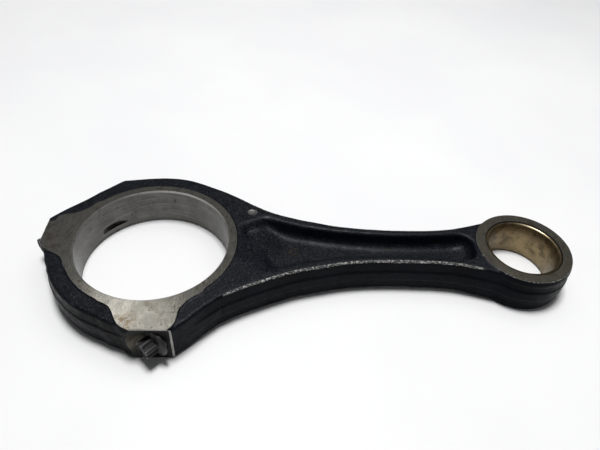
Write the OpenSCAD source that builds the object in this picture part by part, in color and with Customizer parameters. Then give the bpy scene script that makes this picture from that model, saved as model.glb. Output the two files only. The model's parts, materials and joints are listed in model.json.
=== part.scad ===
// Connecting rod with an oblique cracked big-end cap, a bushed small end
// and two flanged cap bolts. Lengths are millimetres. The origin is the centre
// of the big-end bore at mid-thickness, +X points to the small end and +Z runs
// along both bores.

/* [Rod] */
// distance between the two bore centres
centre_distance = 160; // [156:0.5:164]
// thickness over the machined thrust faces
thickness = 17.8; // [17.4:0.1:18.4]
// depth of the forged skin below each thrust face
skin_drop = 0.4; // [0.2:0.1:0.6]
// inward lean of the forged sides from flash band to top edge
draft_inset = 1.3; // [1.2:0.05:1.35]
// height of the trimmed flash band round the edge
flash_band = 5.2; // [4:0.2:6]
// thickness of the web between the two pockets
web = 4.8; // [4:0.2:6]

/* [Big end] */
// diameter of the big-end bore
big_bore_d = 62.5; // [62:0.1:63]
// diameter of the round part of the thrust face
thrust_d = 70; // [69:0.5:71]
// chamfer at the mouths of the big-end bore
big_chamfer = 0.6; // [0.3:0.1:1]
// play left between the two cracked faces
split_gap = 0.02; // [0.01:0.01:0.05]
// distance of the two machined ear flats from the bore centre
ear_reach = 45; // [44.5:0.1:45.5]

/* [Small end] */
// diameter of the small-end boss at its machined face
boss_d = 40.8; // [40.4:0.1:41]
// outside diameter of the bush
bush_od = 32.6; // [32.2:0.1:33.4]
// diameter of the bush bore
bush_id = 30; // [29.5:0.1:30.5]
// chamfer at the mouths of the bush
bush_chamfer = 0.5; // [0.3:0.1:0.8]
// depth of each bush end below the machined boss face
bush_recess = 0.3; // [0.1:0.1:0.6]

/* [Cap bolts] */
// distance of each bolt axis from the bore centre
bolt_offset = 36; // [35.8:0.1:36.3]
// diameter over the bolt thread
thread_d = 7.9; // [7.6:0.1:7.9]
// diameter of the bolt between head and thread
shank_d = 7; // [6:0.1:7.4]
// diameter of the tapped hole in the rod
tapped_d = 8; // [8:0.1:8.1]
// diameter of the clearance hole in the cap
clearance_d = 8.3; // [8.2:0.1:8.5]
// distance of the head seat from the parting plane
seat_depth = 25; // [24:0.5:26]
// diameter of the recess the head sits in
recess_d = 14.6; // [14.2:0.2:15]
// diameter of the head flange
flange_d = 12; // [11.6:0.2:12.8]
// thickness of the head flange
flange_t = 2.6; // [2:0.2:3]
// diameter over the six head lobes
lobe_d = 7.4; // [7.4:0.2:8.6]
// height of the lobed head above the flange
lobe_h = 4.2; // [3.8:0.2:5]
// reach of the bolt tip past the parting plane
thread_reach = 15; // [12:0.5:16]

/* [Hidden] */

half_t = thickness / 2;
skin_z = half_t - skin_drop;
band_z = flash_band / 2;
big_r = big_bore_d / 2;
boss_r = boss_d / 2;
split_angle = 45;
far = 200;
eps = 0.5;
bore_facets = 180;
bolt_facets = 64;

// height of the broken top edge, and how far the side has leaned in below it
edge_h = 0.6;
side_inset = 0.7;
// radius of the forged boss over its machined face radius
boss_growth = 1.4;

// plan shape of the flash band on the side away from the cap bolts' heads
far_shoulder = [
    [-29.9, 30.5], [-21.3, 38.9], [-19.6, 40.2], [-16.8, 40.7], [-12, 41.7], [-6, 42.5],
    [0, 42.8], [6, 42.6], [11.5, 41.5], [17, 39.4], [22, 37], [29, 33.3], [36, 28.9],
    [42, 24.9]
];
near_shoulder = [
    [46, -22.2], [42, -23.9], [38, -25.8], [34, -27.9], [30.9, -29.8]
];
// distance along the beam from the big-end centre, and half width there
beam = [
    [50, 20.4], [60, 16.7], [70, 14.2], [80, 12], [90, 10.9], [100, 10.5],
    [110, 10.45], [120, 10.8], [130, 11.9], [138, 14]
];
beam_scale = (centre_distance - 22) / 138;
// points added per step of the smooth curves
fine = 2;
// step of the beam where the faces change from one fan centre to the other
waist = 3;
fan_centre = [[30, 0], [130 * beam_scale, 0]];

// near ear in plan, and the curve from it to the round back of the cap
ear_corner = [
    [30.1, -30.1], [11.1, -46.9], [3.2, -46.9], [0.2, -45.9], [-2.8, -44.5], [-6, -43],
    [-12, -40.9]
];
cap_back_r = 42;
cap_back_a0 = 250;
cap_back_a1 = 200;

// pads of the thrust face in plan, both drawn at the near ear; they differ at one corner
pad_back = [
    [-12, -29], [-15.2, -31.4], [-12.4, -33], [-10.2, -34.8], [-8.8, -36.8], [-7.7, -39],
    [-6.5, -41.2], [-5, -43], [-2.8, -44.3], [0, -45]
];
near_pad_corner = [[10.9, -45], [12.6, -43.7], [14, -41.6], [14.8, -39]];
far_pad_corner = [[9.6, -45], [10.4, -42.5], [12, -42], [13.5, -41.4], [14.2, -40]];
pad_front = [[15, -37], [15.7, -34.8], [17.2, -32.4], [19.6, -29.9], [23.4, -26.4], [14, -24]];
pad_depth = 1.5;

// pocket: distance along the beam, reach to the far and to the near side at the skin,
// and height of the floor as a share of the rise from web to skin
pocket = [
    [33.5, 8.2, 0.6, 1.12], [37, 10.2, 1.4, 0.9], [41, 12.4, 6.6, 0.62],
    [45, 14.6, 10.6, 0.47], [48, 15.1, 13, 0.37], [52, 13.9, 13.6, 0.21],
    [60, 11.3, 11.3, 0.02], [70, 9.1, 9.1, 0], [80, 7.6, 7.6, 0], [90, 6.7, 6.7, 0],
    [100, 6.25, 6.25, 0], [112, 6.3, 6.3, 0], [122, 6.9, 6.9, 0], [130, 7.4, 7.4, 0.06],
    [134, 7.2, 7.2, 0.14], [136.6, 6, 6, 0.4], [138.2, 3.6, 3.6, 1.12]
];
// inward lean of the pocket walls for each millimetre of depth
wall_lean = 0.4;

// depth of the two tapped holes; the far one runs out of the shoulder
near_hole = 16.5;
far_hole = 40;

// disc-cut slot for the bearing shell tang
tang_angle = 135;
tang_cutter_r = 10.8;
tang_cutter_offset = 22;
tang_height = 2.8;
tang_z = 3.3 + tang_height / 2 - half_t;

// small bare hardness-test spot on the far shoulder
dimple_at = [40.6, 18.9];
dimple_r = 2.1;
dimple_depth = 0.3;

function arc(radius, a0, a1, n) =
    [for (i = [0 : n]) radius * [cos(a0 + (a1 - a0) * i / n), sin(a0 + (a1 - a0) * i / n)]];
function mirror_xy(points) = [for (p = points) [p[1], p[0]]];
function reversed(points) = [for (i = [len(points) - 1 : -1 : 0]) points[i]];
function along(p) = [p[0] * beam_scale, p[1]];
function spline_at(a, b, c, d, t) =
    0.5 * (2 * b + (c - a) * t + (2 * a - 5 * b + 4 * c - d) * t * t
    + (3 * b - a - 3 * c + d) * t * t * t);
function smooth(points, n) = [
    for (i = [0 : len(points) - 2])
        let (a = points[max(i - 1, 0)], d = points[min(i + 2, len(points) - 1)])
            for (k = [0 : n - 1]) spline_at(a, points[i], points[i + 1], d, k / n),
    points[len(points) - 1]
];
function boss_arc() =
    [for (p = arc(boss_r + boss_growth, 130, -130, 32)) p + [centre_distance, 0]];
function tail(points, first) = [for (i = [first : len(points) - 1]) points[i]];
function upper_side() = concat(
    [far_shoulder[0]],
    smooth(concat(tail(far_shoulder, 1), [for (p = beam) along(p)]), fine)
);
function lower_side() =
    smooth(concat([for (p = reversed(beam)) along([p[0], -p[1]])], near_shoulder), fine);
function ear() = concat([ear_corner[0], ear_corner[1]], smooth(tail(ear_corner, 2), 2));
function outline() = concat(
    upper_side(),
    boss_arc(),
    lower_side(),
    ear(),
    arc(cap_back_r, cap_back_a0, cap_back_a1, 14),
    mirror_xy(reversed(ear()))
);
function right_of(v) = [v[1], -v[0]] / norm(v);
function inset_ring(points, inset) = [
    for (i = [0 : len(points) - 1])
        let (
            before = points[(i + len(points) - 1) % len(points)],
            after = points[(i + 1) % len(points)],
            n1 = right_of(points[i] - before),
            n2 = right_of(after - points[i])
        ) points[i] + inset * (n1 + n2) / (1 + n1 * n2)
];
function at_height(points, z) = [for (p = points) [p[0], p[1], z]];

// triangles joining each ring of n points to the next one
function side_faces(count, n) = concat(
    [for (k = [0 : count - 2], i = [0 : n - 1])
        [k * n + i, (k + 1) * n + (i + 1) % n, (k + 1) * n + i]],
    [for (k = [0 : count - 2], i = [0 : n - 1])
        [k * n + i, k * n + (i + 1) % n, (k + 1) * n + (i + 1) % n]]
);

// fan of triangles round one centre point over a run of ring points
function fan(centre, first, run) =
    [for (i = [0 : len(run) - 1]) [centre, first + run[i], first + run[(i + 1) % len(run)]]];
function flipped(faces) = [for (f = faces) [f[0], f[2], f[1]]];

// whole forging before machining: drafted sides with a flash band at mid-height
module forging() {
    plan = outline();
    n = len(plan);
    upper = 1 + (len(far_shoulder) - 1 + waist) * fine;
    lower = len(upper_side()) + len(boss_arc()) + (len(beam) - 1 - waist) * fine;
    small_end = [for (i = [upper : lower]) i];
    big_end = [for (i = [lower : n - 1]) i, for (i = [0 : upper]) i];
    steps = [
        [-skin_z, draft_inset], [-skin_z + edge_h, side_inset], [-band_z, 0],
        [band_z, 0], [skin_z - edge_h, side_inset], [skin_z, draft_inset]
    ];
    rings = [for (s = steps) at_height(inset_ring(plan, s[1]), s[0])];
    top = (len(steps) - 1) * n;
    centres = len(steps) * n;
    polyhedron(
        points = concat(
            [for (ring = rings) each ring],
            at_height(fan_centre, -skin_z),
            at_height(fan_centre, skin_z)
        ),
        faces = concat(
            side_faces(len(steps), n),
            flipped(fan(centres, 0, big_end)),
            flipped(fan(centres + 1, 0, small_end)),
            fan(centres + 2, top, big_end),
            fan(centres + 3, top, small_end)
        ),
        convexity = 8
    );
}

// one pocket of the I-section, cut from the face above the web
module pocket_cut() {
    rise = skin_z - web / 2;
    rings = [for (s = pocket)
        let (
            x = s[0] * beam_scale,
            floor_z = web / 2 + rise * s[3],
            wall_z = max(skin_z, floor_z + 0.2),
            lean = wall_lean * (wall_z - floor_z),
            far_y = s[1],
            near_y = -s[2]
        ) [
            [x, far_y, wall_z + 2], [x, far_y, wall_z], [x, far_y - lean, floor_z],
            [x, near_y + lean, floor_z], [x, near_y, wall_z], [x, near_y, wall_z + 2]
        ]
    ];
    n = len(rings[0]);
    last = (len(rings) - 1) * n;
    polyhedron(
        points = [for (ring = rings) each ring],
        faces = concat(
            side_faces(len(rings), n),
            [for (i = [1 : n - 2]) [0, i + 1, i]],
            [for (i = [1 : n - 2]) [last, last + i, last + i + 1]]
        ),
        convexity = 4
    );
}

// raised pad of the thrust face at one ear
module ear_pad(shape) {
    for (z = [-half_t, half_t - pad_depth])
        translate([0, 0, z])
            linear_extrude(pad_depth)
                polygon(shape);
}

module raised_faces() {
    cylinder(h = thickness, r = thrust_d / 2, center = true, $fn = bore_facets);
    ear_pad(concat(pad_back, near_pad_corner, pad_front));
    ear_pad(mirror_xy(concat(pad_back, far_pad_corner, pad_front)));
}

module big_bore() {
    cylinder(h = thickness + 2 * eps, r = big_r, center = true, $fn = bore_facets);
    for (side = [0, 1])
        mirror([0, 0, side])
            translate([0, 0, half_t - big_chamfer])
                cylinder(h = big_chamfer, r1 = big_r, r2 = big_r + big_chamfer, $fn = bore_facets);
}

// everything beyond the two machined ear flats
module ear_trim() {
    translate([-far / 2, -ear_reach - far, -far / 2])
        cube([far, far, far]);
    translate([-ear_reach - far, -far / 2, -far / 2])
        cube([far, far, far]);
}

// half space on the cap's side (side = 1) or the rod's side (side = 0)
module half_space(side) {
    rotate([0, 0, split_angle])
        translate([side == 1 ? -far - split_gap / 2 : split_gap / 2, -far, -far])
            cube([far, 2 * far, 2 * far]);
}

// axis of one bolt as local +Z, with z = 0 on the parting plane and +Z out of the cap
module on_bolt_axis(side) {
    rotate([0, 0, split_angle])
        translate([0, side * bolt_offset, 0])
            rotate([0, -90, 0])
                children();
}

module bolt_passage(side) {
    on_bolt_axis(side) {
        translate([0, 0, -1])
            cylinder(h = seat_depth + 2, r = clearance_d / 2, $fn = bolt_facets);
        translate([0, 0, seat_depth])
            cylinder(h = far / 4, r = recess_d / 2, $fn = bolt_facets);
    }
}

module tapped_hole(side, depth) {
    on_bolt_axis(side) {
        translate([0, 0, -depth])
            cylinder(h = depth + 1, r = tapped_d / 2, $fn = bolt_facets);
        translate([0, 0, -depth - tapped_d / 4])
            cylinder(h = tapped_d / 4, r1 = 0.2, r2 = tapped_d / 2, $fn = bolt_facets);
    }
}

module tang_slot() {
    rotate([0, 0, tang_angle])
        translate([tang_cutter_offset, 0, tang_z])
            cylinder(h = tang_height, r = tang_cutter_r, center = true, $fn = bolt_facets);
}

module boss_faces() {
    translate([centre_distance, 0, 0])
        cylinder(h = thickness, r = boss_r, center = true, $fn = bore_facets);
}

// seat of the pressed-in bush
module bush_seat() {
    translate([centre_distance, 0, 0])
        cylinder(h = thickness + 2 * eps, r = bush_od / 2, center = true, $fn = bore_facets);
}

module big_end_blank() {
    difference() {
        union() {
            forging();
            raised_faces();
        }
        ear_trim();
        big_bore();
        tang_slot();
    }
}

module rod() {
    color([0.13, 0.14, 0.17])
        difference() {
            union() {
                intersection() {
                    big_end_blank();
                    half_space(0);
                }
                boss_faces();
            }
            bush_seat();
            for (side = [0, 1])
                mirror([0, 0, side])
                    pocket_cut();
            tapped_hole(-1, near_hole);
            tapped_hole(1, far_hole);
            translate([dimple_at[0], dimple_at[1], skin_z - dimple_depth])
                cylinder(h = 2, r = dimple_r, $fn = 32);
        }
}

module cap() {
    color([0.17, 0.18, 0.2])
        difference() {
            intersection() {
                big_end_blank();
                half_space(1);
            }
            bolt_passage(-1);
            bolt_passage(1);
        }
}

module bush() {
    bush_t = thickness - 2 * bush_recess;
    color([0.62, 0.5, 0.34])
        translate([centre_distance, 0, 0])
            difference() {
                cylinder(h = bush_t, r = bush_od / 2, center = true, $fn = bore_facets);
                cylinder(h = thickness + 2 * eps, r = bush_id / 2, center = true, $fn = bore_facets);
                for (side = [0, 1])
                    mirror([0, 0, side])
                        translate([0, 0, bush_t / 2 - bush_chamfer])
                            cylinder(
                                h = bush_chamfer,
                                r1 = bush_id / 2,
                                r2 = bush_id / 2 + bush_chamfer,
                                $fn = bore_facets
                            );
            }
}

module bolt() {
    seat = seat_depth + 0.02;
    lobe_r = 1;
    union() {
        translate([0, 0, -thread_reach + 0.8])
            cylinder(h = thread_reach + 3.2, r = thread_d / 2, $fn = bolt_facets);
        translate([0, 0, -thread_reach])
            cylinder(h = 0.8, r1 = thread_d / 2 - 0.8, r2 = thread_d / 2, $fn = bolt_facets);
        cylinder(h = seat_depth + 1, r = shank_d / 2, $fn = bolt_facets);
        translate([0, 0, seat])
            cylinder(h = flange_t * 0.5, r = flange_d / 2, $fn = bolt_facets);
        translate([0, 0, seat + flange_t * 0.5])
            cylinder(h = flange_t * 0.5, r1 = flange_d / 2, r2 = flange_d / 2 - 1.1, $fn = bolt_facets);
        translate([0, 0, seat + flange_t])
            cylinder(h = lobe_h, r = lobe_d / 2 - 0.65, $fn = bolt_facets);
        for (k = [0 : 5])
            rotate([0, 0, 60 * k])
                translate([lobe_d / 2 - lobe_r, 0, seat + flange_t])
                    cylinder(h = lobe_h - 0.5, r = lobe_r, $fn = 32);
    }
}

module bolt_near() {
    color([0.1, 0.1, 0.11])
        on_bolt_axis(-1)
            bolt();
}

module bolt_far() {
    color([0.1, 0.1, 0.11])
        on_bolt_axis(1)
            bolt();
}

rod();
cap();
bush();
bolt_near();
bolt_far();
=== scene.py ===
import json
import math

import bpy
import numpy as np
import openvdb
from mathutils import Matrix, Vector


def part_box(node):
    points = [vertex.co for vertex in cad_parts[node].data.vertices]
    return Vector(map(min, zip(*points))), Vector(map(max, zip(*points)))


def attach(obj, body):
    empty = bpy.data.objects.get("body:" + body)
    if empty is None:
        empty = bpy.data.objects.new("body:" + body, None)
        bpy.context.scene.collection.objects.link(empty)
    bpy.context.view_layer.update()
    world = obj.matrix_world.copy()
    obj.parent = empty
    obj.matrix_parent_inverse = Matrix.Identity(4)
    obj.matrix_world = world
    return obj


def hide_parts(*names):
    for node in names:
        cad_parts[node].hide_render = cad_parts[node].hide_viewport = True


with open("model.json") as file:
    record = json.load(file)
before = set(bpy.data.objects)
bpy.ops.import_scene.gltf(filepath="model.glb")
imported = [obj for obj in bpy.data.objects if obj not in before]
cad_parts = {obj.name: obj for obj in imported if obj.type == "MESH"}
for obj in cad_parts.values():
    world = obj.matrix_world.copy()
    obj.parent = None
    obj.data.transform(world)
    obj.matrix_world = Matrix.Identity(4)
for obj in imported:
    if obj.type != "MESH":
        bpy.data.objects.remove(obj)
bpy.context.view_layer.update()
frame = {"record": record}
record = frame["record"]

MM = 0.001


def mount(name):
    """The record's mount of that name."""
    return next(m for m in record["mounts"] if m["name"] == name)


# sizes in millimetres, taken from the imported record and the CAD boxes: bores, distance between
# their centres, bush, half thickness and how far out the milled ears lie
BIG_R = mount("big_end_bore")["dims"]["r_mm"]
PIN_R = mount("small_end_bore")["dims"]["r_mm"]
CENTRES = mount("small_end_bore")["pos_m"][0] / MM
BUSH_R = (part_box("bush")[1].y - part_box("bush")[0].y) / 2 / MM
BUSH_LONG = (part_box("bush")[1].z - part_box("bush")[0].z) / MM
HALF_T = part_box("rod")[1].z / MM
EAR = -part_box("cap")[0].x / MM

# the way the cap comes off, and the way from one bolt to the other
AXIS = np.array([-1.0, -1.0, 0.0]) / math.sqrt(2)
ACROSS = np.array([1.0, -1.0, 0.0]) / math.sqrt(2)

# forging, its heights measured from mid-thickness
SKIN = HALF_T - 0.4        # forged skin, a little below the machined faces
WEB = 2.4                  # floor of the pocket
BAND = 2.6                 # edge of the flash band round the outline
RING_R = 35.0              # machined ring round the big end
BOSS_FACE_R = 20.4         # machined face of the small end
BOSS_R = 21.5              # outside of the small end
FORGING_PITCH = 0.51
CRACK_STEP = 0.4

# marks on the forging: hardness-test spot and dent in plan, then places of rust and soil and of
# two painted highlights
SPOT = (40.6, 18.9)
SPOT_R = 2.1
DENT = (47.6, -8.2)
DENT_DEEP = 0.8
DENT_WIDE = 3.0
RUST = (58, 0.5, WEB)
SOILED = (-3.0, -41.5, HALF_T)
PAINTED_HIGHLIGHT_CHAMFER = (12, 29, HALF_T)
PAINTED_HIGHLIGHT_RIM = (169, 11.5, HALF_T)

# cuts in the forging
CRACK_PLAY = 0.02          # from the parting plane to each torn face
BORE_CHAMFER = 0.6
BUSH_CHAMFER = 0.3
EAR_CHAMFER = 0.3
EAR_END = 41.1 * math.sqrt(2) - EAR
EAR_ENDS = ((EAR_END, -EAR), (-EAR, EAR_END))
EAR_NICK = 0.24            # how far the corner at each ear's end is broken
TANG = 22 / math.sqrt(2)   # the cutter of the tang slot stands at (-TANG, TANG)
TANG_R = 10.8
TANG_HALF = 1.4
TANG_Z = 3.3 + TANG_HALF - HALF_T

# bolts and their holes, heights measured out from the parting plane
BOLT_AT = 36.0             # from the big end's centre to each bolt
SEAT = 25.02               # seat of the bolt's flange
RECESS_R = 7.3
CLEAR_R = 4.15
FLANGE_R = 6.0
FLANGE_T = 2.6
LOBES = 6
LOBE_R = 3.7
LOBE_H = 4.2
SHANK_R = 3.5
THREAD_R = 3.95
THREAD_PLAY = 0.06
PITCH = 1.25
REACH = 15.0               # the bolt's length past the parting plane
NEAR_TAP = 16.5            # depths of the tapped holes
FAR_TAP = 40

# outlines in plan, as (x, y) points of smooth curves: the forging's far shoulder, near
# shoulder, beam and ear corner, then the ear pads from back to front, then the pocket
FAR_SHOULDER = [
    (-29.9, 30.5), (-21.3, 38.9), (-19.6, 40.2), (-16.8, 40.7), (-12, 41.7), (-6, 42.5),
    (0, 42.8), (6, 42.6), (11.5, 41.5), (17, 39.4), (22, 37.0), (29, 33.3), (36, 28.9),
    (42, 24.9),
]
NEAR_SHOULDER = [(46, -22.2), (42, -23.9), (38, -25.8), (34, -27.9), (30.9, -29.8)]
BEAM = [
    (50, 20.4), (60, 16.7), (70, 14.2), (80, 12.0), (90, 10.9), (100, 10.5),
    (110, 10.45), (120, 10.8), (130, 11.9), (138, 14.0),
]
EAR_CORNER = [
    (30.1, -30.1), (11.1, -46.9), (3.2, -46.9), (0.2, -45.9), (-2.8, -44.5), (-6, -43.0),
    (-12, -40.9),
]
PAD_BACK = [
    (-12, -29), (-15.2, -31.4), (-12.4, -33), (-10.2, -34.8), (-8.8, -36.8), (-7.7, -39),
    (-6.5, -41.2), (-5, -43), (-2.8, -44.4), (0, -45.3), (2.5, -47),
]
NEAR_PAD_CORNER = [(9.8, -47), (11.5, -45.3), (13.2, -43.9), (14.4, -41.6), (14.9, -39)]
FAR_PAD_CORNER = [(9.4, -47), (9.8, -44.3), (10.5, -42.5), (12, -42), (13.5, -41.5), (14.3, -40)]
PAD_FRONT = [(15, -37), (15.7, -34.8), (17.2, -32.4), (19.6, -29.9), (23.4, -26.4), (14, -24)]
POCKET = [
    (35.6, 8.6), (38, 11), (42, 13.2), (45, 14.9), (47, 15.4), (50, 14.7), (55, 12.9),
    (60, 11.3), (66, 9.9), (72, 8.8), (80, 7.6), (90, 6.7), (100, 6.25), (112, 6.3),
    (122, 6.9), (130, 7.5), (134, 7.3), (136.6, 6.0), (138.2, 3.2),
]
POCKET_START = [
    (50, -14.0), (47.5, -12.9), (45, -10.8), (42, -7.8), (39, -4.6), (37.2, -1.5), (36.2, 2.5),
]


# ---------------------------------------------------------------- plan curves

def smooth_curve(points, steps):
    """Catmull-Rom curve through the points, with so many steps between two of them."""
    p = np.asarray(points, float)
    out = []
    for i in range(len(p) - 1):
        a, b, c, d = p[max(i - 1, 0)], p[i], p[i + 1], p[min(i + 2, len(p) - 1)]
        for k in range(steps):
            t = k / steps
            out.append(0.5 * (2 * b + (c - a) * t + (2 * a - 5 * b + 4 * c - d) * t * t
                              + (3 * b - a - 3 * c + d) * t ** 3))
    out.append(p[-1])
    return np.array(out)


def arc(cx, cy, r, a0, a1, n):
    """Points of an arc from a0 to a1 degrees."""
    a = np.radians(np.linspace(a0, a1, n + 1))
    return np.stack([cx + r * np.cos(a), cy + r * np.sin(a)], 1)


def mirrored(points):
    """Mirror image across the line that runs through the big end along the bolts."""
    return np.asarray(points, float)[::-1, ::-1]


def outline():
    """Closed outline of the whole forging before the ears are milled."""
    beam_low = [(x, -y) for x, y in BEAM[::-1]]
    ear = np.vstack([EAR_CORNER[:2], smooth_curve(EAR_CORNER[2:], 4)])
    return np.vstack([
        [FAR_SHOULDER[0]],
        smooth_curve(FAR_SHOULDER[1:] + BEAM, 5),
        arc(CENTRES, 0, BOSS_R, 130, -130, 60),
        smooth_curve(beam_low + NEAR_SHOULDER, 5),
        ear,
        arc(0, 0, 42, 250, 200, 24),
        mirrored(ear),
    ])


def plan_distance(poly, x, y):
    """Signed distance to a closed polygon, positive inside."""
    best = np.full(x.shape, 1e9, np.float32)
    inside = np.zeros(x.shape, bool)
    nxt = np.roll(poly, -1, 0)
    for (ax, ay), (bx, by) in zip(poly, nxt):
        ex, ey = bx - ax, by - ay
        length = ex * ex + ey * ey
        if length < 1e-9:
            continue
        wx, wy = x - ax, y - ay
        t = np.clip((wx * ex + wy * ey) / length, 0, 1)
        best = np.minimum(best, (wx - t * ex) ** 2 + (wy - t * ey) ** 2)
        crosses = (ay <= y) != (by <= y)
        if crosses.any():
            inside ^= crosses & (wx < ex * wy / (ey if abs(ey) > 1e-9 else 1e-9))
    d = np.sqrt(best)
    return np.where(inside, d, -d).astype(np.float32)


def smin(a, b, k):
    """Smaller of two fields, blended over a width k."""
    h = np.clip(0.5 + 0.5 * (b - a) / k, 0, 1)
    return b + (a - b) * h - k * h * (1 - h)


def smax(a, b, k):
    """Larger of two fields, blended over a width k."""
    return -smin(-a, -b, k)


def ramp(v, lo, hi):
    """Smooth rise from 0 at lo to 1 at hi."""
    t = np.clip((v - lo) / (hi - lo), 0, 1)
    return t * t * (3 - 2 * t)


class Waves:
    """Smooth repeatable noise made of random plane waves."""

    COUNT = 40

    def __init__(self, seed, shortest, longest):
        rng = np.random.RandomState(seed)
        length = np.exp(rng.uniform(np.log(shortest), np.log(longest), self.COUNT))
        way = rng.normal(size=(self.COUNT, 2))
        way /= np.linalg.norm(way, axis=1)[:, None]
        self.k = way * (2 * math.pi / length)[:, None]
        self.phase = rng.uniform(0, 2 * math.pi, self.COUNT)
        self.amp = length / np.sqrt((length ** 2).sum() / 2)

    def at(self, x, y):
        """Height at x and y, of about unit size."""
        total = 0
        for (kx, ky), phase, amp in zip(self.k, self.phase, self.amp):
            total = total + amp * np.sin(x * kx + y * ky + phase)
        return total


# ---------------------------------------------------------------- mesh helpers

def mesh_object(name, verts_mm, faces, smooth=True):
    """Links a new object made of points in millimetres."""
    me = bpy.data.meshes.new(name)
    me.from_pydata((np.asarray(verts_mm, float) * MM).tolist(), [], faces)
    me.validate()
    me.update()
    if smooth:
        me.polygons.foreach_set("use_smooth", np.ones(len(me.polygons), bool))
    ob = bpy.data.objects.new(name, me)
    bpy.context.scene.collection.objects.link(ob)
    return ob


def grid_faces(rows, cols, wrap=True):
    """Quads between rows of points, closed round each row when wrap is true."""
    faces = []
    last = cols if wrap else cols - 1
    for i in range(rows - 1):
        for j in range(last):
            a, b = i * cols + j, i * cols + (j + 1) % cols
            faces.append((a, b, b + cols, a + cols))
    return faces


def circle_ring(r, z, segments):
    """One ring of points at height z, r being a number or a radius for each point."""
    a = np.linspace(0, 2 * math.pi, segments, endpoint=False)
    return np.stack([r * np.cos(a), r * np.sin(a), np.full(segments, z)], 1)


def tube(name, rings):
    """Closed solid through rings of equal length, with flat fans at both ends."""
    rings = np.asarray(rings)
    rows, cols = rings.shape[:2]
    verts = rings.reshape(-1, 3)
    faces = grid_faces(rows, cols)
    n = len(verts)
    verts = np.vstack([verts, rings[0].mean(0), rings[-1].mean(0)])
    faces += [(n, (j + 1) % cols, j) for j in range(cols)]
    base = (rows - 1) * cols
    faces += [(n + 1, base + j, base + (j + 1) % cols) for j in range(cols)]
    return mesh_object(name, verts, faces)


def lathe(name, profile, segments, centre=(0, 0, 0)):
    """Solid of revolution about +Z through (radius, height) points."""
    return tube(name, [circle_ring(r, z, segments) + centre for r, z in profile])


def stock_block(name, lo, hi, edge):
    """A block with its long edges taken off on the two sides the ears are milled to."""
    rings = []
    for z, c in ((lo[2], edge), (lo[2] + edge, 0), (hi[2] - edge, 0), (hi[2], edge)):
        x0, y0 = lo[0] + c, lo[1] + c
        rings.append([(x0, y0, z), (hi[0], y0, z), (hi[0], hi[1], z), (x0, hi[1], z)])
    return tube(name, rings)


def to_bolt_axis(ob, side):
    """Local +Z becomes the way out of the cap, with z = 0 on the parting plane."""
    x = Vector((0, 0, 1))
    z = Vector(AXIS)
    y = z.cross(x)
    m = Matrix((x, y, z)).transposed().to_4x4()
    m.translation = Vector(ACROSS) * (BOLT_AT * MM * side)
    ob.data.transform(m)
    return ob


def carve(target, cutter, how="DIFFERENCE"):
    """Cuts target with cutter, which is used up."""
    mod = target.modifiers.new("cut", "BOOLEAN")
    mod.operation = how
    mod.solver = "MANIFOLD"
    mod.object = cutter
    dg = bpy.context.evaluated_depsgraph_get()
    me = bpy.data.meshes.new_from_object(target.evaluated_get(dg))
    target.modifiers.clear()
    old = target.data
    target.data = me
    bpy.data.meshes.remove(old)
    data = cutter.data
    bpy.data.objects.remove(cutter)
    bpy.data.meshes.remove(data)
    if not len(me.polygons):
        raise RuntimeError("a cut left nothing of " + target.name)
    return target


# ---------------------------------------------------------------- forging

def pocket_floor(x, y):
    """Height of the pocket floor, which falls away from the big end in two stages."""
    first_fall = ramp(np.hypot(x, y), 35.3, 40.0)
    second_fall = ramp(x, 42.0, 56.0)
    end_rise = 0.25 * ramp(x, 128.0, 140.0)
    apart = (x - DENT[0]) ** 2 + (y - DENT[1]) ** 2
    dent = DENT_DEEP * np.exp(-apart / (2 * DENT_WIDE ** 2))
    fall = 0.5 * first_fall + 0.5 * second_fall
    return WEB + (SKIN - WEB) * np.maximum(1 - fall, end_rise) - dent


def pocket_plan():
    """Closed outline of the pocket, whose start near the big end isn't symmetric."""
    beyond = [(x, -y) for x, y in POCKET[::-1] if x > 52]
    return np.vstack([smooth_curve(POCKET, 4), smooth_curve(beyond + POCKET_START, 4)])


def pad_plan(corner):
    """Closed outline of one machined ear pad."""
    return smooth_curve(PAD_BACK + corner + PAD_FRONT + PAD_BACK[:1], 4)


def raised_faces(x, y):
    """Plan distance into the machined faces of both ends, positive inside."""
    near_pad = plan_distance(pad_plan(NEAR_PAD_CORNER), x, y)
    far_pad = plan_distance(mirrored(pad_plan(FAR_PAD_CORNER)), x, y)
    pads = smax(smax(near_pad, far_pad, 0.2), RING_R - np.hypot(x, y), 1.2)
    return smax(pads, BOSS_FACE_R + 0.25 - np.hypot(x - CENTRES, y), 0.1)


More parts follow.
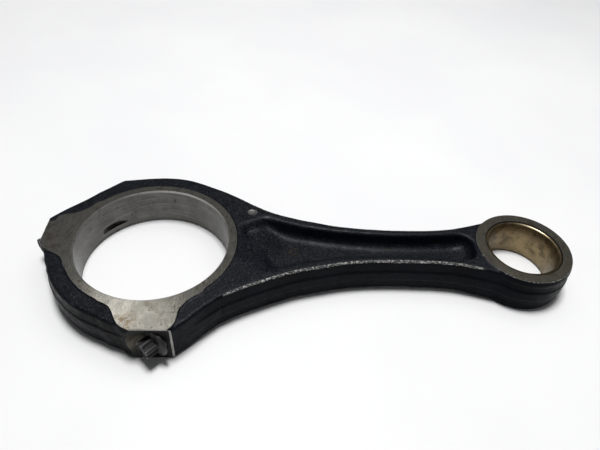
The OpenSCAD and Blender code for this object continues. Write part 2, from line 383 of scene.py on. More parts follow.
def forging_field(h):
    """Field on a grid of pitch h, positive inside the forging, for z >= 0 only."""
    xs = np.arange(-49.0, CENTRES + BOSS_R + 3, h, dtype=np.float32)
    ys = np.arange(-49.0, 45.0, h, dtype=np.float32)
    zs = np.arange(h / 2, HALF_T + 1.2, h, dtype=np.float32)
    x, y = np.meshgrid(xs, ys, indexing="ij")
    edge = plan_distance(outline(), x, y) + 0.04 * Waves(3, 9, 40).at(x, y).astype(np.float32)
    inner = plan_distance(pocket_plan(), x, y)
    faces = raised_faces(x, y)
    skin = SKIN + 0.03 * Waves(5, 6, 30).at(x, y).astype(np.float32)
    floor = pocket_floor(x, y) + 0.05 * Waves(9, 5, 25).at(x, y).astype(np.float32)
    # the ragged step of the flash band and the draft fade out at both bolt ears
    trim = 0.10 * Waves(13, 1.6, 9).at(x, y).astype(np.float32)
    band_fade = np.minimum(ramp(np.hypot(x - 9, y + 44), 9, 20),
                           ramp(np.hypot(x + 44, y - 9), 9, 20))
    # the pocket starts softly on the near side of the big end
    soft = (1 - ramp(x, 41, 54)) * (1 - ramp(y, 2, 9))
    # rounding of the pocket's rim, and lean of its walls
    crest = 1.3 + 0.9 * (1 - ramp(x, 48, 56)) + 3.2 * soft
    slope = 0.36 + 0.9 * soft
    layers = []
    for z in zs:
        lean = 0.40 * ramp(z, BAND - 0.2 + trim, BAND + 0.25 + trim) + 0.06 * max(z - BAND, 0)
        side = edge - lean * band_fade
        body = smin(side, skin - z, 1.2)
        cut = smin((inner - (SKIN - z) * slope) * 0.94, z - floor, 3.2 + 2.0 * soft)
        body = smin(body, -cut, crest)
        raised = smin(faces - (z - SKIN) * 0.25, HALF_T + 0.5 - z, 0.2)
        body = smax(body, smin(raised, z - SKIN + 2.5, 0.5), 0.35)
        layers.append(body)
    return np.stack(layers, 2), xs[0], ys[0]


def forging_mesh(h):
    """Turns the field and its mirror image below mid-thickness into one closed mesh."""
    half, x0, y0 = forging_field(h)
    field = -np.concatenate([half[:, :, ::-1], half], 2)
    field = np.clip(field, -3 * h, 3 * h).astype(np.float32)
    grid = openvdb.FloatGrid(3 * h)
    grid.copyFromArray(np.ascontiguousarray(field))
    pts, tris, quads = grid.convertToPolygons(isovalue=0.0, adaptivity=0.0)
    pts = pts * h + [x0, y0, -(half.shape[2] - 0.5) * h]
    me = bpy.data.meshes.new("forging")
    loops = np.concatenate([tris.reshape(-1), quads.reshape(-1)]).astype(np.int32)
    sizes = np.concatenate([np.full(len(tris), 3), np.full(len(quads), 4)])
    starts = np.concatenate([[0], np.cumsum(sizes)[:-1]]).astype(np.int32)
    me.vertices.add(len(pts))
    me.vertices.foreach_set("co", (pts * MM).astype(np.float32).ravel())
    me.loops.add(len(loops))
    me.loops.foreach_set("vertex_index", loops)
    me.polygons.add(len(sizes))
    me.polygons.foreach_set("loop_start", starts)
    me.update(calc_edges=True)
    me.validate()
    ob = bpy.data.objects.new("forging", me)
    bpy.context.scene.collection.objects.link(ob)
    return ob


def bore_cutter(radius, chamfer, centre, segments):
    """A bore right through the thickness, chamfered at both ends."""
    top = HALF_T + 0.5
    out = radius + chamfer + 0.5
    profile = [(out, -top), (radius, chamfer - HALF_T), (radius, HALF_T - chamfer), (out, top)]
    return lathe("bore", profile, segments, centre)


def crack_cutter(gap):
    """Block on the cap's side of the torn parting face, shifted out by gap."""
    u = np.arange(-52, 52 + CRACK_STEP, CRACK_STEP)
    v = np.arange(-12, 12 + CRACK_STEP, CRACK_STEP)
    uu, vv = np.meshgrid(u, v, indexing="ij")
    rough = 0.16 * Waves(21, 2.2, 14).at(uu, vv) + 0.045 * Waves(22, 0.9, 2.2).at(uu, vv)
    t = rough + gap
    flat_front = uu[..., None] * ACROSS + vv[..., None] * np.array([0, 0, 1.0])
    front = flat_front + t[..., None] * AXIS
    back = flat_front + 90 * AXIS
    rows, cols = uu.shape
    n = rows * cols
    sheet = grid_faces(rows, cols, False)
    faces = sheet + [tuple(n + i for i in f[::-1]) for f in sheet]
    border = ([i * cols for i in range(rows)] + [(rows - 1) * cols + j for j in range(1, cols)]
              + [i * cols + cols - 1 for i in range(rows - 2, -1, -1)]
              + [j for j in range(cols - 2, 0, -1)])
    for a, b in zip(border, border[1:] + border[:1]):
        faces.append((a, b, b + n, a + n))
    return mesh_object("crack", np.vstack([front.reshape(-1, 3), back.reshape(-1, 3)]), faces)


def thread_rings(radius, z0, z1, depth, lead_in, segments):
    """Rings of a right-hand thread from z0 to z1 whose crests lie at radius."""
    step = PITCH / 10
    count = int(round((z1 - z0) / step)) + 1
    zs = np.linspace(z0, z1, count)
    a = np.linspace(0, 2 * math.pi, segments, endpoint=False)
    rings = []
    for z in zs:
        phase = (z / PITCH - a / (2 * math.pi)) % 1.0
        height = np.clip(np.abs(phase - 0.5) * 2.6 - 0.15, 0, 1)
        r = radius - depth * height
        r = np.minimum(r, radius - lead_in + max(z - z0, 0) * 1.1)
        rings.append(circle_ring(r, z, segments))
    return rings


def tap_cutter(side, depth):
    """Tapped hole with the drill's cone at its bottom."""
    crest = THREAD_R + THREAD_PLAY
    rings = [circle_ring(0.3, -depth - 2.0, 48), circle_ring(3.4, -depth - 0.2, 48)]
    rings += thread_rings(crest, -depth, 1.5, 0.62, 0.5, 48)
    rings += [circle_ring(crest, 2.0, 48)]
    return to_bolt_axis(tube("tap", rings), side)


def passage_cutter(side):
    """Clearance hole through the cap, and the recess of the bolt's head."""
    floor = SEAT - 0.02
    profile = [(CLEAR_R, -2), (CLEAR_R, SEAT - 0.35), (4.5, floor), (RECESS_R - 0.35, floor),
               (RECESS_R, SEAT + 0.33), (RECESS_R, 60)]
    return to_bolt_axis(lathe("passage", profile, 96), side)


def carve_big_end(ob):
    """Mills the faces and ears, bores the big end and cuts the tang slot."""
    lo = (-EAR, -EAR, -HALF_T)
    hi = (CENTRES + 60, 80, HALF_T)
    carve(ob, stock_block("stock", lo, hi, EAR_CHAMFER), "INTERSECT")
    for x, y in EAR_ENDS:
        carve(ob, lathe("corner", [(EAR_NICK, -12), (EAR_NICK, 12)], 4, (x, y, 0)))
    carve(ob, bore_cutter(BIG_R, BORE_CHAMFER, (0, 0, 0), 288))
    profile = [(TANG_R - 0.3, -TANG_HALF), (TANG_R, 0.2 - TANG_HALF), (TANG_R, TANG_HALF - 0.2),
               (TANG_R - 0.3, TANG_HALF)]
    carve(ob, lathe("tang", profile, 96, (-TANG, TANG, TANG_Z)))


def make_forgings():
    """One forging, cracked into rod and cap, then drilled, tapped and bored."""
    body = forging_mesh(FORGING_PITCH)
    carve_big_end(body)
    cap = bpy.data.objects.new("cap_forging", body.data.copy())
    bpy.context.scene.collection.objects.link(cap)
    carve(cap, crack_cutter(CRACK_PLAY), "INTERSECT")
    carve(body, crack_cutter(-CRACK_PLAY))
    for side in (-1, 1):
        carve(cap, passage_cutter(side))
    carve(body, tap_cutter(1, NEAR_TAP))
    carve(body, tap_cutter(-1, FAR_TAP))
    carve(body, bore_cutter(BUSH_R, BUSH_CHAMFER, (CENTRES, 0, 0), 192))
    bowl = [(0.1, -0.34), (0.8, -0.33), (1.4, -0.28), (1.85, -0.16), (SPOT_R, 0.05), (2.3, 0.5)]
    carve(body, lathe("spot", bowl, 64, (*SPOT, SKIN)))
    body.name = "rod_forging"
    body.data.name = "rod_forging"
    cap.data.name = "cap_forging"
    return body, cap


# ---------------------------------------------------------------- bolts and bush

def head_ring(r, lobe, z):
    """Ring of the lobed head, whose grooves are lobe times r deep."""
    a = np.linspace(0, 2 * math.pi, 96, endpoint=False)
    groove = np.clip(1.4 * (0.5 - 0.5 * np.cos(LOBES * a)) - 0.2, 0, 1) ** 0.9
    return circle_ring(r * (1 - lobe * groove), z, 96)


def make_bolt(name, side):
    """Flanged bolt with a lobed head, from the tip of its thread to its top."""
    under = SEAT + 0.02
    low = SEAT + 2.2
    top = SEAT + FLANGE_T + LOBE_H
    tip = [(2.6, -REACH), (3.0, -REACH)]
    shank = [(SHANK_R - 0.08, 4.9), (SHANK_R, 5.4), (SHANK_R, 12), (SHANK_R, SEAT - 2.6),
             (3.9, SEAT - 2.0), (3.95, SEAT - 0.5), (4.15, under)]
    flange = [(FLANGE_R - 0.25, under), (FLANGE_R, SEAT + 0.25), (FLANGE_R, SEAT + 1.1),
              (FLANGE_R - 0.3, SEAT + 1.45), (LOBE_R + 0.75, SEAT + 1.75)]
    head = [(LOBE_R + 0.25, 0.12, low - 0.15), (LOBE_R, 0.25, low + 0.15),
            (LOBE_R, 0.25, low + 1.6), (LOBE_R, 0.25, top - 1.4), (LOBE_R, 0.25, top - 0.45),
            (LOBE_R - 0.15, 0.22, top - 0.15), (LOBE_R - 0.5, 0.17, top), (3.0, 0.0, top),
            (2.8, 0.0, top - 0.35), (1.0, 0.0, top - 0.4)]
    rings = [circle_ring(r, z, 96) for r, z in tip]
    rings += thread_rings(THREAD_R, -REACH + 0.05, 4.4, 0.6, 0.7, 96)
    rings += [circle_ring(r, z, 96) for r, z in shank + flange]
    rings += [head_ring(r, lobe, z) for r, lobe, z in head]
    ob = to_bolt_axis(tube(name, rings), side)
    ob.name = name
    return ob


def make_bush():
    """Plain tube with rounded chamfers, its profile swept once round the bore."""
    segments = 192
    end = BUSH_LONG / 2
    half = [(PIN_R, 0), (PIN_R, end - 0.55), (PIN_R + 0.12, end - 0.3), (PIN_R + 0.42, end - 0.03),
            (PIN_R + 0.55, end), (BUSH_R - 0.28, end), (BUSH_R - 0.03, end - 0.25)]
    profile = [(r, -z) for r, z in half[::-1]] + half[1:]
    a = np.linspace(0, 2 * math.pi, segments + 1)[:-1]
    verts = np.vstack([np.stack([CENTRES + r * np.cos(a), r * np.sin(a),
                                 np.full(segments, z)], 1) for r, z in profile])
    rows = len(profile)
    faces = []
    for i in range(rows):
        low, high = i * segments, (i + 1) % rows * segments
        for j in range(segments):
            k = (j + 1) % segments
            faces.append((low + j, high + j, high + k, low + k))
    return mesh_object("small_end_bush", verts, faces)


# ---------------------------------------------------------------- materials

class Nodes:
    """Small helper that builds one procedural material."""

    def __init__(self, name):
        self.mat = bpy.data.materials.new(name)
        self.mat.use_nodes = True
        self.tree = self.mat.node_tree
        self.tree.nodes.clear()
        self.out = self.tree.nodes.new("ShaderNodeOutputMaterial")
        self.bsdf = self.tree.nodes.new("ShaderNodeBsdfPrincipled")
        self.link(self.bsdf.outputs[0], self.out.inputs[0])
        self.coord = self.tree.nodes.new("ShaderNodeTexCoord").outputs["Object"]

    def link(self, a, b):
        self.tree.links.new(a, b)

    def put(self, socket, value):
        """Links a socket, or sets a number or a colour."""
        if isinstance(value, bpy.types.NodeSocket):
            self.link(value, socket)
        elif isinstance(value, (tuple, list)) and len(value) == 3 and socket.type == "RGBA":
            socket.default_value = (*value, 1)
        else:
            socket.default_value = value

    def scaled(self, scale, rotation=(0, 0, 0)):
        n = self.tree.nodes.new("ShaderNodeMapping")
        self.link(self.coord, n.inputs["Vector"])
        n.inputs["Scale"].default_value = scale
        n.inputs["Rotation"].default_value = rotation
        return n.outputs[0]

    def noise(self, scale, detail=4, rough=0.55, vector=None, distortion=0):
        n = self.tree.nodes.new("ShaderNodeTexNoise")
        self.link(vector or self.coord, n.inputs["Vector"])
        n.inputs["Scale"].default_value = scale
        n.inputs["Detail"].default_value = detail
        n.inputs["Roughness"].default_value = rough
        n.inputs["Distortion"].default_value = distortion
        return n.outputs["Fac"]

    def cells(self, scale):
        n = self.tree.nodes.new("ShaderNodeTexVoronoi")
        self.link(self.coord, n.inputs["Vector"])
        n.inputs["Scale"].default_value = scale
        return n.outputs["Distance"]

    def math(self, op, a, b=0.0, clamp=False):
        n = self.tree.nodes.new("ShaderNodeMath")
        n.operation = op
        n.use_clamp = clamp
        self.put(n.inputs[0], a)
        self.put(n.inputs[1], b)
        return n.outputs[0]

    def span(self, value, lo, hi, to_lo=0.0, to_hi=1.0):
        """Smooth rise from to_lo where value is lo to to_hi where it is hi."""
        n = self.tree.nodes.new("ShaderNodeMapRange")
        n.interpolation_type = "SMOOTHSTEP"
        self.put(n.inputs["Value"], value)
        for key, v in (("From Min", lo), ("From Max", hi), ("To Min", to_lo), ("To Max", to_hi)):
            n.inputs[key].default_value = v
        return n.outputs[0]

    def mix(self, fac, a, b):
        n = self.tree.nodes.new("ShaderNodeMix")
        n.data_type = "RGBA"
        self.put(n.inputs[0], fac)
        self.put(n.inputs[6], a)
        self.put(n.inputs[7], b)
        return n.outputs[2]

    def near(self, place_mm, radius_mm):
        """1 at a place on the part, fading to 0 at radius_mm from it."""
        n = self.tree.nodes.new("ShaderNodeVectorMath")
        n.operation = "DISTANCE"
        self.link(self.coord, n.inputs[0])
        n.inputs[1].default_value = tuple(v * MM for v in place_mm)
        return self.span(n.outputs["Value"], 0.0, radius_mm * MM, 1.0, 0.0)

    def level(self):
        """1 on faces square to the bore axis, 0 on faces along it."""
        n = self.tree.nodes.new("ShaderNodeSeparateXYZ")
        self.link(self.tree.nodes.new("ShaderNodeTexCoord").outputs["Normal"], n.inputs[0])
        return self.math("ABSOLUTE", n.outputs["Z"])

    def attribute(self, name):
        n = self.tree.nodes.new("ShaderNodeAttribute")
        n.attribute_name = name
        return n.outputs["Fac"]

    def bump(self, height, strength, distance_mm, base=None):
        """Normal for a height, on top of the bump base if there is one."""
        n = self.tree.nodes.new("ShaderNodeBump")
        n.inputs["Strength"].default_value = strength
        n.inputs["Distance"].default_value = distance_mm * MM
        self.put(n.inputs["Height"], height)
        if base is not None:
            self.link(base, n.inputs["Normal"])
        return n.outputs[0]

    def finish(self, color, rough, metallic=0.0, normal=None, specular=0.5):
        self.put(self.bsdf.inputs["Base Color"], color)
        self.put(self.bsdf.inputs["Roughness"], rough)
        self.put(self.bsdf.inputs["Metallic"], metallic)
        self.put(self.bsdf.inputs["Specular IOR Level"], specular)
        if normal is not None:
            self.link(normal, self.bsdf.inputs["Normal"])
        return self.mat


def times(color, gain):
    """The colour, gain times as bright."""
    return tuple(min(1, c * gain) for c in color)


def forged_material():
    """Blue-black forged skin; level faces carry lighter grain as dust and painted light from
    above, plus painted sparkles, and the crests are abraded bare under a painted highlight with
    painted glints.
    """
    dark, mid = (0.0012, 0.0016, 0.0026), (0.0028, 0.0040, 0.0068)
    grain_and_top_light_tone, painted_sparkle_tone = (0.013, 0.016, 0.022), (0.07, 0.074, 0.084)
    rust_tone = (0.035, 0.022, 0.012)
    rubbed_and_sheen_tone, bare_and_glint_tone = (0.08, 0.08, 0.078), (0.60, 0.59, 0.56)
    m = Nodes("forged_skin")
    cloud = m.noise(60, 5, 0.6)
    grain = m.noise(1300, 3, 0.6)
    speck = m.noise(2300, 2, 0.5)
    fine = m.noise(1500, 4, 0.75)
    base = m.mix(m.span(cloud, 0.35, 0.7), dark, mid)
    # level faces, top and bottom alike, get lighter grain (dust and painted light from above) and
    # speck-sized painted sparkles; side faces stay darker
    flat = m.span(m.level(), 0.45, 0.95, 0.2, 1.0)
    base = m.mix(m.math("MULTIPLY", m.span(grain, 0.50, 0.62), flat), base, grain_and_top_light_tone)
    painted_sparkles = m.math("MULTIPLY", m.span(speck, 0.60, 0.72), flat)
    base = m.mix(m.math("MULTIPLY", painted_sparkles, 0.7), base, painted_sparkle_tone)
    rust = m.math("MULTIPLY", m.near(RUST, 4.5), m.span(m.noise(700, 3), 0.45, 0.6))
    base = m.mix(m.math("MULTIPLY", rust, 0.6), base, rust_tone)
    # crests: abraded bare steel with a painted highlight over it, and pale flecks as painted
    # glints
    rubbed_and_highlit = m.span(m.attribute("wear_and_highlight"), 0.30, 0.72)
    base = m.mix(m.math("MULTIPLY", rubbed_and_highlit, m.span(grain, 0.32, 0.56)), base, rubbed_and_sheen_tone)
    painted_glint = m.math("MULTIPLY", rubbed_and_highlit, m.span(fine, 0.50, 0.60), True)
    base = m.mix(painted_glint, base, bare_and_glint_tone)
    rough = m.span(m.noise(400, 4), 0.3, 0.7, 0.34, 0.52)
    coarse_bump = m.bump(m.noise(800, 4, 0.6), 0.8, 0.12)
    grain_bump = m.bump(grain, 0.9, 0.08, coarse_bump)
    return m.finish(base, rough, 0.0, grain_bump, m.span(m.level(), 0.25, 0.9, 0.05, 0.12))


def machined_material(name, base, stain, rough, lines, metallic, turn=0.0, specular=0.5,
                      lay=0.10, pitted=0.8, soiled=None, painted_highlight_at=None):
    """Machined metal with tool marks that run across lines, turned by turn radians.

    lay is how much the marks show, pitted how dark the pits are; soiled is the place of a brown
    soil patch and the last argument that of a painted highlight, both in millimetres.
    """
    soil_tone, painted_highlight_tone = (0.16, 0.10, 0.035), (0.62, 0.61, 0.57)
    m = Nodes(name)
    streak = m.noise(1.0, 3, 0.6, m.scaled(lines, (0, 0, turn)))
    cloud = m.noise(90, 6, 0.65)
    blot = m.noise(210, 6, 0.75, distortion=0.6)
    fleck = m.noise(1900, 3, 0.6)
    color = m.mix(m.span(cloud, 0.35, 0.7), base, times(base, 0.72))
    color = m.mix(m.math("MULTIPLY", m.span(blot, 0.50, 0.68), 0.7), color, stain)
    color = m.mix(m.math("MULTIPLY", m.span(fleck, 0.55, 0.72), 0.6), color, times(base, 0.35))
    pits = m.span(m.noise(560, 2, 0.5), 0.66, 0.70)
    color = m.mix(m.math("MULTIPLY", pits, pitted), color, times(stain, 0.4))
    # painted highlight: pale flecks around one place on the part
    if painted_highlight_at:
        lit = m.math("MULTIPLY", m.near(painted_highlight_at, 36), m.span(fleck, 0.3, 0.6, 0.5, 1.0))
        color = m.mix(lit, color, painted_highlight_tone)
    if soiled:
        patch = m.math("MULTIPLY", m.near(soiled, 6.5), m.span(m.noise(750, 4, 0.6), 0.42, 0.58))
        color = m.mix(m.math("MULTIPLY", patch, 0.75), color, soil_tone)
    color = m.mix(m.math("MULTIPLY", m.span(streak, 0.4, 0.7), lay), color, times(base, 1.6))
    uneven = m.math("ADD", m.math("MULTIPLY", streak, 0.4), m.math("MULTIPLY", cloud, 0.6))
    gloss = m.span(uneven, 0.3, 0.7, *rough)
    return m.finish(color, gloss, metallic, m.bump(m.math("ADD", streak, fleck), 0.15, 0.03),
                    specular)


def crack_material():
    """Bright grainy face of a cracked joint."""
    m = Nodes("crack_face")
    grain = m.noise(900, 6, 0.7)
    cells = m.cells(1500)
    color = m.mix(m.span(grain, 0.35, 0.65), (0.06, 0.058, 0.055), (0.2, 0.195, 0.19))
    return m.finish(color, 0.42, 0.8, m.bump(m.math("ADD", grain, cells), 0.9, 0.15))


def bolt_material():
    """Phosphated black, abraded grey along the edges, which also carry painted highlights."""
    m = Nodes("phosphated_bolt")
    grain = m.noise(1800, 4, 0.6)
    cloud = m.noise(180, 4)
    edge_wear_and_highlight = m.math("MULTIPLY", m.span(m.attribute("wear_and_highlight"), 0.3, 0.9), 0.6, True)
    color = m.mix(m.span(cloud, 0.35, 0.7), (0.012, 0.012, 0.013), (0.03, 0.03, 0.031))
    color = m.mix(edge_wear_and_highlight, color, (0.4, 0.4, 0.4))
    return m.finish(color, m.span(grain, 0.3, 0.7, 0.35, 0.55), 0.4, m.bump(grain, 0.3, 0.03))


def bronze_material(name, gain=1.0, painted_highlight_at=None):
    """Dull bronze with turning marks round the bore, with a painted highlight near one place if
    given.
    """
    light_tone, dark_tone = (0.245, 0.185, 0.10), (0.155, 0.118, 0.066)
    m = Nodes(name)
    rings = m.noise(1.0, 3, 0.6, m.scaled((12, 12, 2600)))
    cloud = m.noise(90, 5, 0.6)
    stain = m.noise(260, 5, 0.7)
    color = m.mix(m.span(cloud, 0.35, 0.68), times(light_tone, gain), times(dark_tone, gain))
    color = m.mix(m.math("MULTIPLY", m.span(stain, 0.46, 0.64), 0.7), color, (0.055, 0.042, 0.024))
    if painted_highlight_at:
        # painted highlight
        color = m.mix(m.near(painted_highlight_at, 10), color, (0.62, 0.51, 0.33))
    gloss = m.span(rings, 0.3, 0.7, 0.26, 0.42)
    return m.finish(color, gloss, 0.9, m.bump(rings, 0.12, 0.02))


# finish: material name, base colour, stain, least and most roughness, scale of the tool
# marks along x, y and z, and what else differs from the usual
MACHINED = {
    "face": ("milled_thrust_face", (0.42, 0.40, 0.35), (0.16, 0.13, 0.09), (0.13, 0.23),
             (1500, 200, 1500), {"turn": 0.9, "metallic": 0.95, "soiled": SOILED}),
    "boss": ("milled_boss_face", (0.36, 0.33, 0.27), (0.12, 0.10, 0.065), (0.16, 0.27),
             (1200, 160, 1200), {"turn": -0.5, "metallic": 0.95}),
    "bore": ("honed_bore", (0.108, 0.106, 0.099), (0.05, 0.046, 0.038), (0.28, 0.42),
             (70, 70, 1500), {"metallic": 0.9, "lay": 0.6}),
    # near-black milled faces; the same finish marks the steel at the bush's edge as painted shade
    "ear": ("milled_ear", (0.014, 0.0135, 0.0125), (0.008, 0.0075, 0.007), (0.35, 0.5),
            (900, 60, 900), {"metallic": 0.1, "specular": 0.1}),
    "recess": ("milled_recess", (0.20, 0.185, 0.15), (0.06, 0.055, 0.044), (0.35, 0.55),
               (700, 700, 60), {"metallic": 0.7}),
    "tapped": ("tapped_hole", (0.12, 0.12, 0.11), (0.06, 0.055, 0.045), (0.3, 0.45),
               (600, 600, 600), {"metallic": 0.8}),
    "spot": ("bare_spot", (0.14, 0.14, 0.135), (0.07, 0.07, 0.066), (0.42, 0.55),
             (400, 400, 400), {"metallic": 0.9, "pitted": 0.0}),
    # pale diffuse edge: bare steel, with a painted highlight laid over it
    "edge": ("broken_edge", (0.50, 0.49, 0.46), (0.09, 0.085, 0.075), (0.3, 0.5),
             (500, 500, 500), {"metallic": 0.35}),
    # the chamfer gets a painted highlight on its far side
    "rim": ("bore_chamfer", (0.19, 0.185, 0.17), (0.09, 0.08, 0.07), (0.3, 0.5),
            (500, 500, 500), {"metallic": 0.5, "painted_highlight_at": PAINTED_HIGHLIGHT_CHAMFER}),
}


def build_materials():
    """All finishes by the name that paint and the pieces use."""
    mats = {key: machined_material(*values, **more) for key, (*values, more) in MACHINED.items()}
    mats["forged"] = forged_material()
    mats["crack"] = crack_material()
    mats["bolt"] = bolt_material()
    mats["bronze"] = bronze_material("bush_bronze")
    # end faces of the bush: a darker copy of the bronze as painted shade, with a painted highlight
    mats["bronze_rim_shade_and_highlight"] = bronze_material("bush_rim_shade_and_highlight", 0.8, PAINTED_HIGHLIGHT_RIM)
    return mats


# ---------------------------------------------------------------- faces, wear and painted highlights

KINDS = ["forged", "face", "boss", "bore", "ear", "recess", "crack", "tapped", "spot", "edge",
         "rim"]


def face_geometry(me):
    """Centres in millimetres and normals of all faces."""
    n = len(me.polygons)
    c = np.zeros(n * 3, np.float32)
    me.polygons.foreach_get("center", c)
    w = np.zeros(n * 3, np.float32)
    me.polygons.foreach_get("normal", w)
    return c.reshape(-1, 3) / MM, w.reshape(-1, 3)


def paint(ob, mats):
    """Gives each face of a forging the finish its place calls for."""
    me = ob.data
    c, n = face_geometry(me)
    x, y, z = c.T
    kind = np.zeros(len(c), np.int32)

    def mark(name, where):
        kind[where] = KINDS.index(name)

    from_big = np.hypot(x, y)
    from_small = np.hypot(x - CENTRES, y)
    along = c @ AXIS
    flat = (np.abs(z) > HALF_T - 0.004) & (np.abs(n[:, 2]) > 0.99)
    mark("face", flat & (x < CENTRES / 2))
    mark("boss", flat & (x >= CENTRES / 2))
    mark("bore", (from_big < BIG_R + 1.05) & ~flat)
    # the steel round the bush, seen only as a thin ring, takes the near-black finish as painted
    # shade in the gap
    mark("ear", (from_small < BUSH_R + 0.5) & ~flat)
    tang = np.hypot(x + TANG, y - TANG) < TANG_R + 0.03
    mark("bore", tang & (from_big < 33.5) & ~flat)

    milled = (x < -EAR + 0.01) | (y < -EAR + 0.01)
    mark("ear", milled)
    chamfer = ((x < -EAR + 0.33) | (y < -EAR + 0.33)) & (np.abs(z) > HALF_T - 0.33)
    for ex, ey in EAR_ENDS:
        chamfer |= np.hypot(x - ex, y - ey) < 0.46
    # pale edge finish on the ears' chamfers and corners: bare steel plus painted highlight
    mark("edge", chamfer & ~milled & ~flat)
    # bore chamfers, with a painted highlight on the far side
    mark("rim", (from_big < BIG_R + 0.75) & (np.abs(z) > HALF_T - 0.62) & ~flat)

    for side, tap in ((-1, FAR_TAP), (1, NEAR_TAP)):
        off = c @ ACROSS - side * BOLT_AT
        rho = np.hypot(off, z)
        in_recess = (rho < RECESS_R + 0.02) & (along > SEAT - 0.5) & ~milled
        in_recess &= (kind != KINDS.index("bore")) & ((rho > 4) | (along < SEAT + 9))
        mark("recess", in_recess)
        inward = (n @ ACROSS) * off + n[:, 2] * z < -0.25 * rho
        in_hole = (rho < 4.3) & (along < SEAT - 0.3) & (along > -tap - 2.5)
        mark("tapped", in_hole & inward & (kind == KINDS.index("forged")))

    torn = (np.abs(along) < 0.6) & (np.abs(n @ AXIS) > 0.8) & (from_big > BIG_R + 0.05)
    clear = np.hypot(np.abs(c @ ACROSS) - BOLT_AT, z) > 4.2
    mark("crack", torn & clear & ~flat)
    from_spot = np.hypot(x - SPOT[0], y - SPOT[1])
    mark("spot", (from_spot < SPOT_R + 0.1) & (z > SKIN - 0.5) & (z < SKIN - 0.05))

    me.materials.clear()
    for name in KINDS:
        me.materials.append(mats[name])
    me.polygons.foreach_set("material_index", kind)


def wear_and_highlight_places(co):
    """Share of abrasion and painted highlight: strong on the beam's outer crests and on the edge
    of the small end's face, some on the pocket's inner crests, light everywhere else.
    """
    x, y, z = co.T
    side = NEAR_SHOULDER[::-1] + BEAM
    half = np.interp(x, [p[0] for p in side], [abs(p[1]) for p in side])
    outer = (half - np.abs(y) < 2.6) & (np.abs(z) > SKIN - 2.5)
    inner = (half - np.abs(y) > 2.6) & (np.abs(z) > SKIN - 1.5) & (x > 34) & (x < 138)
    on_beam = ramp(x, 24, 34) * (1 - ramp(x, 136, 142))
    off_joint = ramp(np.abs(co @ AXIS), 0.8, 2.0)
    from_small = np.hypot(x - CENTRES, y)
    boss_edge = (np.abs(from_small - BOSS_FACE_R - 0.1) < 0.9) & (np.abs(z) > SKIN - 0.3)
    boss_edge &= x > 134
    return (0.12 + 0.88 * outer * on_beam + 0.22 * inner) * off_joint + 0.88 * boss_edge


def wear_and_highlight_attribute(me, gain, rounds, places=None):
    """Stores how convex the surface is at each vertex, as a 0 to 1 attribute that sets both
    abrasion and painted highlights.
    """
    nv, ne = len(me.vertices), len(me.edges)
    co = np.zeros(nv * 3, np.float32)
    me.vertices.foreach_get("co", co)
    co = co.reshape(-1, 3) / MM
    no = np.zeros(nv * 3, np.float32)
    me.vertices.foreach_get("normal", no)
    no = no.reshape(-1, 3)
    e = np.zeros(ne * 2, np.int32)
    me.edges.foreach_get("vertices", e)
    e = e.reshape(-1, 2)
    d = co[e[:, 1]] - co[e[:, 0]]
    length = np.linalg.norm(d, axis=1) + 1e-6
    a = -(d * no[e[:, 0]]).sum(1) / length ** 2
    b = (d * no[e[:, 1]]).sum(1) / length ** 2
    count = np.bincount(e.ravel(), minlength=nv) + 1e-6
    curve = (np.bincount(e[:, 0], a, nv) + np.bincount(e[:, 1], b, nv)) / count
    for _ in range(rounds):
        s = np.bincount(e[:, 0], curve[e[:, 1]], nv) + np.bincount(e[:, 1], curve[e[:, 0]], nv)
        curve = 0.5 * curve + 0.5 * s / count
    value = np.clip(curve * gain, 0, 1)
    if places is not None:
        value = value * places(co)
    at = me.attributes.new("wear_and_highlight", "FLOAT", "POINT")
    at.data.foreach_set("value", value.astype(np.float32))


def shade(ob, degrees=32):
    """Smooth shading, broken at edges sharper than degrees."""
    me = ob.data
    me.polygons.foreach_set("use_smooth", np.ones(len(me.polygons), bool))
    me.set_sharp_from_angle(angle=math.radians(degrees))


def dress(ob, body, node):
    """Puts the piece on the frame's body of that name and hides the CAD node it stands for."""
    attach(ob, body)
    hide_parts(node)


# ---------------------------------------------------------------- stage

# camera's place from the floor under the big end's centre, in centre distances; angles in
# degrees; focal length as a share of the sensor's width
CAM_POS = np.array([0.2800, -0.9600, 1.0820]) * CENTRES
CAM_PITCH, CAM_YAW, CAM_ROLL = 43.22, 5.92, 5.31
FOCAL_SHARE = 0.859667
SENSOR = 36
FLOOR_HALF = 15000


def make_camera():
    """Camera over the near side of the beam, looking down at the part."""
    pitch, yaw, roll = (math.radians(v) for v in (CAM_PITCH, CAM_YAW, CAM_ROLL))
    fwd = Vector((math.sin(yaw) * math.cos(pitch), math.cos(yaw) * math.cos(pitch),
                  -math.sin(pitch)))
    level = Vector((math.cos(yaw), -math.sin(yaw), 0))
    upright = level.cross(fwd)
    right = math.cos(roll) * level + math.sin(roll) * upright
    up = -math.sin(roll) * level + math.cos(roll) * upright
    m = Matrix((right, up, -fwd)).transposed().to_4x4()
    m.translation = Vector(CAM_POS - [0, 0, HALF_T]) * MM
    cam = bpy.data.cameras.new("camera")
    cam.sensor_width = SENSOR
    cam.lens = FOCAL_SHARE * SENSOR
    cam.clip_start = 0.005
    ob = bpy.data.objects.new("camera", cam)
    ob.matrix_world = m
    bpy.context.scene.collection.objects.link(ob)
    bpy.context.scene.camera = ob


def make_floor():
    """Wide pale card that the part lies on."""
    s = FLOOR_HALF
    z = -HALF_T - 0.01
    ob = mesh_object("floor", [(-s, -s, z), (s, -s, z), (s, s, z), (-s, s, z)],
                     [(0, 1, 2, 3)], False)
    m = Nodes("white_card")
    tone = m.noise(8, 3)
    color = m.mix(m.span(tone, 0.3, 0.7), (0.86, 0.86, 0.87), (0.9, 0.9, 0.9))
    ob.data.materials.append(m.finish(color, 0.55, 0.0, m.bump(m.noise(900, 3), 0.05, 0.02)))


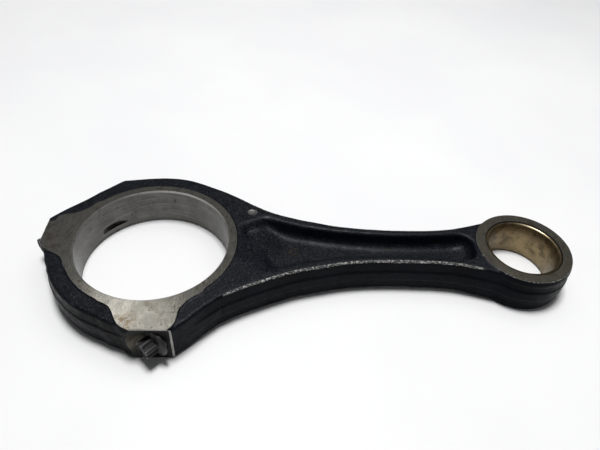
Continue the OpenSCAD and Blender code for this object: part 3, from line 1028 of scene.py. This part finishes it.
def add_lamp(name, at, aim, watts, size, size_y=None):
    """Area light, round unless size_y is given."""
    data = bpy.data.lights.new(name, "AREA")
    data.shape = "RECTANGLE" if size_y else "DISK"
    data.size = size
    if size_y:
        data.size_y = size_y
    data.energy = watts
    ob = bpy.data.objects.new(name, data)
    ob.location = at
    ob.rotation_euler = (Vector(aim) - Vector(at)).to_track_quat("-Z", "Y").to_euler()
    bpy.context.scene.collection.objects.link(ob)


def add_panel(name, x, y, z, size, size_y, radiance):
    """Panel that hangs level and shines straight down."""
    add_lamp(name, (x, y, z), (x, y, 0), radiance * math.pi * size * size_y, size, size_y)


def make_world():
    """Pale surround, lighter towards the horizon."""
    world = bpy.data.worlds.new("studio")
    world.use_nodes = True
    tree = world.node_tree
    background = tree.nodes["Background"]
    background.inputs[0].default_value = (0.95, 0.97, 1.0, 1)
    way = tree.nodes.new("ShaderNodeTexCoord").outputs["Generated"]
    split = tree.nodes.new("ShaderNodeSeparateXYZ")
    tree.links.new(way, split.inputs[0])
    fade = tree.nodes.new("ShaderNodeMapRange")
    fade.interpolation_type = "SMOOTHSTEP"
    for key, v in (("From Min", 0.0), ("From Max", 0.22), ("To Min", 0.32), ("To Max", 0.09)):
        fade.inputs[key].default_value = v
    tree.links.new(split.outputs["Z"], fade.inputs["Value"])
    tree.links.new(fade.outputs[0], background.inputs[1])
    bpy.context.scene.world = world


def make_lights():
    """Small key lamp overhead, a wide soft panel and a side lamp, all in metres."""
    add_lamp("key", (0.03, 0.0875, 1.22), (0.06, 0, 0), 12.9, 0.33)
    add_panel("overhead_panel", 0.18, 0.19, 0.62, 0.60, 0.40, 1.40)
    add_panel("side_lamp", -0.19, 0.425, 0.62, 0.12, 0.10, 2.3)
    view = bpy.context.scene.view_settings
    view.view_transform = "Standard"
    view.exposure = 0.0


def finish_forging(ob, node, mats):
    """Finishes, abraded crests with their painted highlight, and body of the rod or the cap."""
    paint(ob, mats)
    wear_and_highlight_attribute(ob.data, 2.8, 2, wear_and_highlight_places)
    shade(ob)
    dress(ob, node, node)


def finish_bush(ob, mats):
    """Bronze in the bore, and on the end faces a darker copy as painted shade with a painted
    highlight at one place.
    """
    for key in ("bronze", "bronze_rim_shade_and_highlight"):
        ob.data.materials.append(mats[key])
    _, normals = face_geometry(ob.data)
    on_rim = (np.abs(normals[:, 2]) > 0.2).astype(np.int32)
    ob.data.polygons.foreach_set("material_index", on_rim)
    shade(ob)
    dress(ob, "rod", "bush")


def finish_bolt(ob, node, mats):
    """Abraded phosphate finish with painted edge highlights, and the bolt's own body."""
    ob.data.materials.append(mats["bolt"])
    wear_and_highlight_attribute(ob.data, 0.8, 1)
    shade(ob, 40)
    dress(ob, node, node)


def main():
    mats = build_materials()
    rod, cap = make_forgings()
    finish_forging(rod, "rod", mats)
    finish_forging(cap, "cap", mats)
    finish_bush(make_bush(), mats)
    finish_bolt(make_bolt("cap_bolt_near", 1), "bolt_near", mats)
    finish_bolt(make_bolt("cap_bolt_far", -1), "bolt_far", mats)
    make_floor()
    make_world()
    make_lights()
    make_camera()


main()
